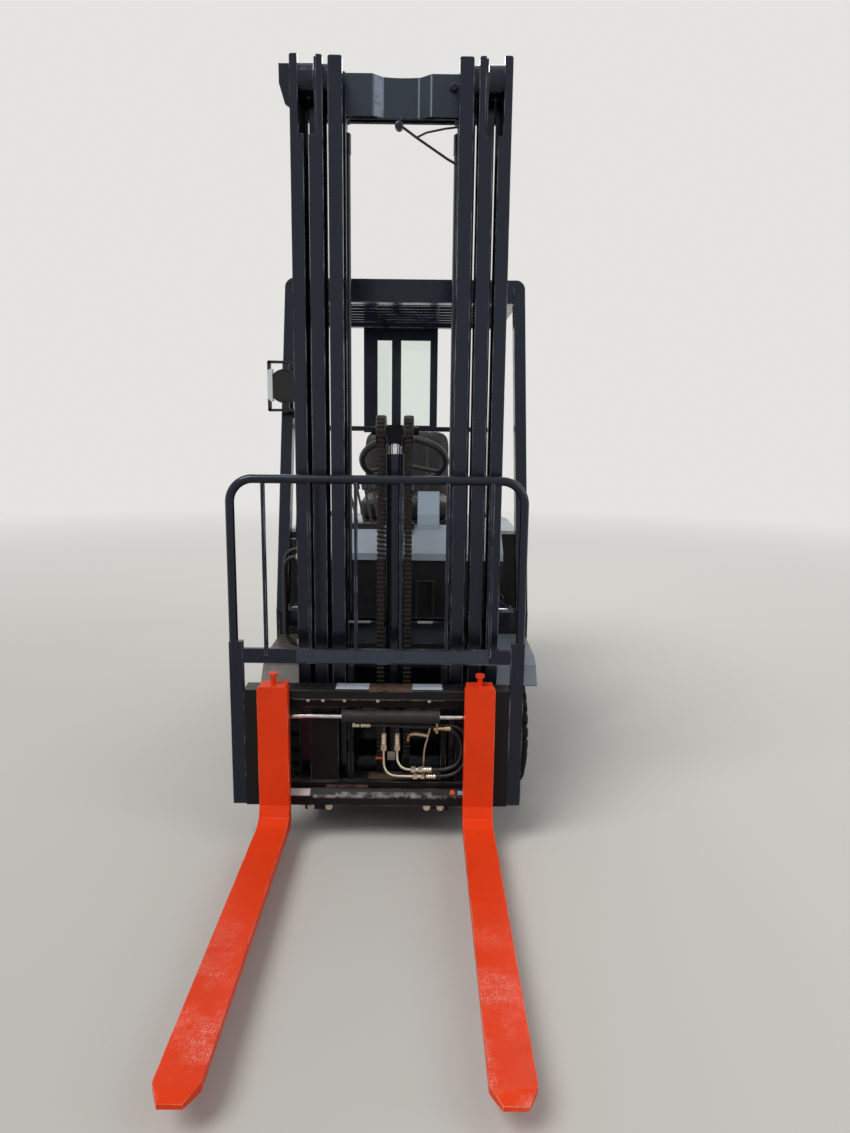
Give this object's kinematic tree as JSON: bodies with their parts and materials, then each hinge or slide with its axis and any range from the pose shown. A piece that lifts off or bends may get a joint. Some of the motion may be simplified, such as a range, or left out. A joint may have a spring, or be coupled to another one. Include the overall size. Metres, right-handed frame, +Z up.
{
  "type": "counterbalance forklift truck",
  "caption": "Sit-down electric counterbalance forklift with a three-stage lifting mast, side-shifting forks, overhead guard and steered rear wheels.",
  "frame": {"origin": "on the floor, at the bottom centre of the truck's box at rest, 16.5 mm off its centre plane because the forks are side-shifted", "axes": "+Z up; the forks point to -Y and the counterweight to +Y; +X is the driver's left. Left and right in the names are as seen from in front."},
  "size_m": [1.073, 3.415, 2.5299],
  "materials": {
    "tyre_rubber": "worn black solid rubber",
    "rim_paint": "grey painted steel",
    "black_gloss": "gloss black paint, greasy and rubbed on edges",
    "carriage_black": "black paint with brown dirt and rust bloom",
    "chassis_black": "satin black paint, dusty",
    "fender_black": "moulded plastic, dusty",
    "body_grey": "light grey paint",
    "counterweight_grey": "light grey paint over a coarse casting",
    "panel_grey": "grey blue moulded plastic",
    "fork_orange": "orange paint, scratched and scuffed at the tips",
    "chrome_rod": "hard chromed rod with an oil film",
    "chain_steel": "oiled leaf chain",
    "sheave_iron": "machined iron, dark",
    "battery_case": "painted steel tray",
    "floor_mat": "ribbed black mat",
    "pedal_rubber": "ribbed rubber pads",
    "seat_vinyl": "black vinyl with seams",
    "seat_metal": "black painted steel",
    "black_plastic": "black moulded plastic",
    "lamp_glass": "clear ribbed lens",
    "window_glass": "slightly green glass"
  },
  "bodies": {
    "chassis": {"chassis_frame": "chassis_black", "drive_axle": "chassis_black", "steer_axle": "chassis_black", "floor_plate": "floor_mat", "seat_riser": "chassis_black", "pedals": "pedal_rubber", "fenders": "fender_black", "cowl_top": "body_grey", "cowl_front": "chassis_black", "instrument_panel": "panel_grey", "steering_column": "chassis_black", "control_levers": "black_plastic", "battery": "battery_case", "counterweight": "counterweight_grey", "overhead_guard": "black_gloss", "roof_grille": "black_gloss", "rear_window_frame": "black_gloss", "rear_window_panes": "window_glass", "work_lamp": "black_plastic", "lamp_lens": "lamp_glass", "grab_handle": "black_gloss"},
    "steering_wheel": {"steering_wheel": "black_plastic"},
    "seat_deck": {"seat_deck": "body_grey", "seat_base": "seat_metal", "seat_cushion": "seat_vinyl", "seat_back": "seat_vinyl"},
    "mast_outer": {"mast_outer": "black_gloss", "lift_cylinder_barrels": "black_gloss"},
    "mast_middle": {"mast_middle": "black_gloss", "lift_rods": "chrome_rod"},
    "mast_inner": {"mast_inner": "black_gloss", "free_lift_barrel": "black_gloss", "chain_anchor_strand": "chain_steel"},
    "free_lift_ram": {"free_lift_ram": "chrome_rod", "chain_sheaves": "sheave_iron", "chain_wrap": "chain_steel", "chain_front": "chain_steel"},
    "carriage": {"carriage": "carriage_black", "shift_barrel": "carriage_black"},
    "side_shifter": {"shift_frame": "carriage_black", "shift_rod": "chrome_rod", "load_backrest": "black_gloss"},
    "fork_left": {"fork_left": "fork_orange"},
    "fork_right": {"fork_right": "fork_orange"},
    "front_wheel_left": {"front_tyre_left": "tyre_rubber", "front_rim_left": "rim_paint"},
    "knuckle_left": {"knuckle_left": "chassis_black"},
    "rear_wheel_left": {"rear_tyre_left": "tyre_rubber", "rear_rim_left": "rim_paint"},
    "tilt_barrel_left": {"tilt_barrel_left": "black_gloss"},
    "tilt_rod_left": {"tilt_rod_left": "chrome_rod"},
    "front_wheel_right": {"front_tyre_right": "tyre_rubber", "front_rim_right": "rim_paint"},
    "knuckle_right": {"knuckle_right": "chassis_black"},
    "rear_wheel_right": {"rear_tyre_right": "tyre_rubber", "rear_rim_right": "rim_paint"},
    "tilt_barrel_right": {"tilt_barrel_right": "black_gloss"},
    "tilt_rod_right": {"tilt_rod_right": "chrome_rod"}
  },
  "joints": [
    {"name": "front_wheel_left_spin", "type": "hinge", "parent": "chassis", "child": "front_wheel_left", "pos_m": [-0.3955, 0.0075, 0.23], "axis": [1, 0, 0], "continuous": true},
    {"name": "steer_left", "type": "hinge", "parent": "chassis", "child": "knuckle_left", "pos_m": [-0.3385, 1.3275, 0.204], "axis": [0, 0, 1], "range_deg": [-60, 60]},
    {"name": "rear_wheel_left_spin", "type": "hinge", "parent": "knuckle_left", "child": "rear_wheel_left", "pos_m": [-0.4115, 1.3275, 0.204], "axis": [1, 0, 0], "continuous": true},
    {"name": "front_wheel_right_spin", "type": "hinge", "parent": "chassis", "child": "front_wheel_right", "pos_m": [0.4285, 0.0075, 0.23], "axis": [1, 0, 0], "continuous": true},
    {"name": "steer_right", "type": "hinge", "parent": "chassis", "child": "knuckle_right", "pos_m": [0.3715, 1.3275, 0.204], "axis": [0, 0, 1], "range_deg": [-60, 60]},
    {"name": "rear_wheel_right_spin", "type": "hinge", "parent": "knuckle_right", "child": "rear_wheel_right", "pos_m": [0.4445, 1.3275, 0.204], "axis": [1, 0, 0], "continuous": true},
    {"name": "steering_wheel_turn", "type": "hinge", "parent": "chassis", "child": "steering_wheel", "pos_m": [0.0165, 0.3775, 1.262], "axis": [0, 0.5549, 0.8319], "continuous": true},
    {"name": "seat_deck_lid", "type": "hinge", "parent": "chassis", "child": "seat_deck", "pos_m": [0.0165, 1.0525, 0.938], "axis": [-1, 0, 0], "range_deg": [0, 60]},
    {"name": "mast_tilt", "type": "hinge", "parent": "chassis", "child": "mast_outer", "pos_m": [0.0165, 0.0075, 0.23], "axis": [-1, 0, 0], "range_deg": [-5, 8]},
    {"name": "mast_middle_lift", "type": "slide", "parent": "mast_outer", "child": "mast_middle", "axis": [0, 0, 1], "range_m": [0, 1.6]},
    {"name": "mast_inner_lift", "type": "slide", "parent": "mast_middle", "child": "mast_inner", "axis": [0, 0, 1], "range_m": [0, 1.6]},
    {"name": "carriage_lift", "type": "slide", "parent": "mast_inner", "child": "carriage", "axis": [0, 0, 1], "range_m": [0, 1.7]},
    {"name": "free_lift", "type": "slide", "parent": "mast_inner", "child": "free_lift_ram", "axis": [0, 0, 1], "range_m": [0, 0.85], "deforming": ["chain_front"]},
    {"name": "side_shift", "type": "slide", "parent": "carriage", "child": "side_shifter", "axis": [1, 0, 0], "range_m": [-0.034, 0.166]},
    {"name": "fork_left_shift", "type": "slide", "parent": "side_shifter", "child": "fork_left", "axis": [1, 0, 0], "range_m": [-0.045, 0.18]},
    {"name": "fork_right_shift", "type": "slide", "parent": "side_shifter", "child": "fork_right", "axis": [1, 0, 0], "range_m": [-0.18, 0.045]},
    {"name": "tilt_barrel_left_swing", "type": "hinge", "parent": "chassis", "child": "tilt_barrel_left", "pos_m": [-0.3615, 0.2105, 0.69], "axis": [-1, 0, 0], "range_deg": [-3.56, 5.52]},
    {"name": "tilt_rod_left_slide", "type": "slide", "parent": "tilt_barrel_left", "child": "tilt_rod_left", "axis": [0, -0.9943, 0.1065], "range_m": [-0.0683, 0.0431]},
    {"name": "tilt_barrel_right_swing", "type": "hinge", "parent": "chassis", "child": "tilt_barrel_right", "pos_m": [0.3945, 0.2105, 0.69], "axis": [-1, 0, 0], "range_deg": [-3.56, 5.52]},
    {"name": "tilt_rod_right_slide", "type": "slide", "parent": "tilt_barrel_right", "child": "tilt_rod_right", "axis": [0, -0.9943, 0.1065], "range_m": [-0.0683, 0.0431]}
  ],
  "couplings": [
    {"joint": "steer_right", "follows": "steer_left", "ratio": 1},
    {"joint": "mast_inner_lift", "follows": "mast_middle_lift", "ratio": 1},
    {"joint": "free_lift", "follows": "carriage_lift", "ratio": 0.5},
    {"joint": "tilt_barrel_left_swing", "follows": "mast_tilt", "ratio": 0.65195},
    {"joint": "tilt_rod_left_slide", "follows": "mast_tilt", "m_per_rad": -0.48224},
    {"joint": "tilt_barrel_right_swing", "follows": "mast_tilt", "ratio": 0.65195},
    {"joint": "tilt_rod_right_slide", "follows": "mast_tilt", "m_per_rad": -0.48224}
  ]
}
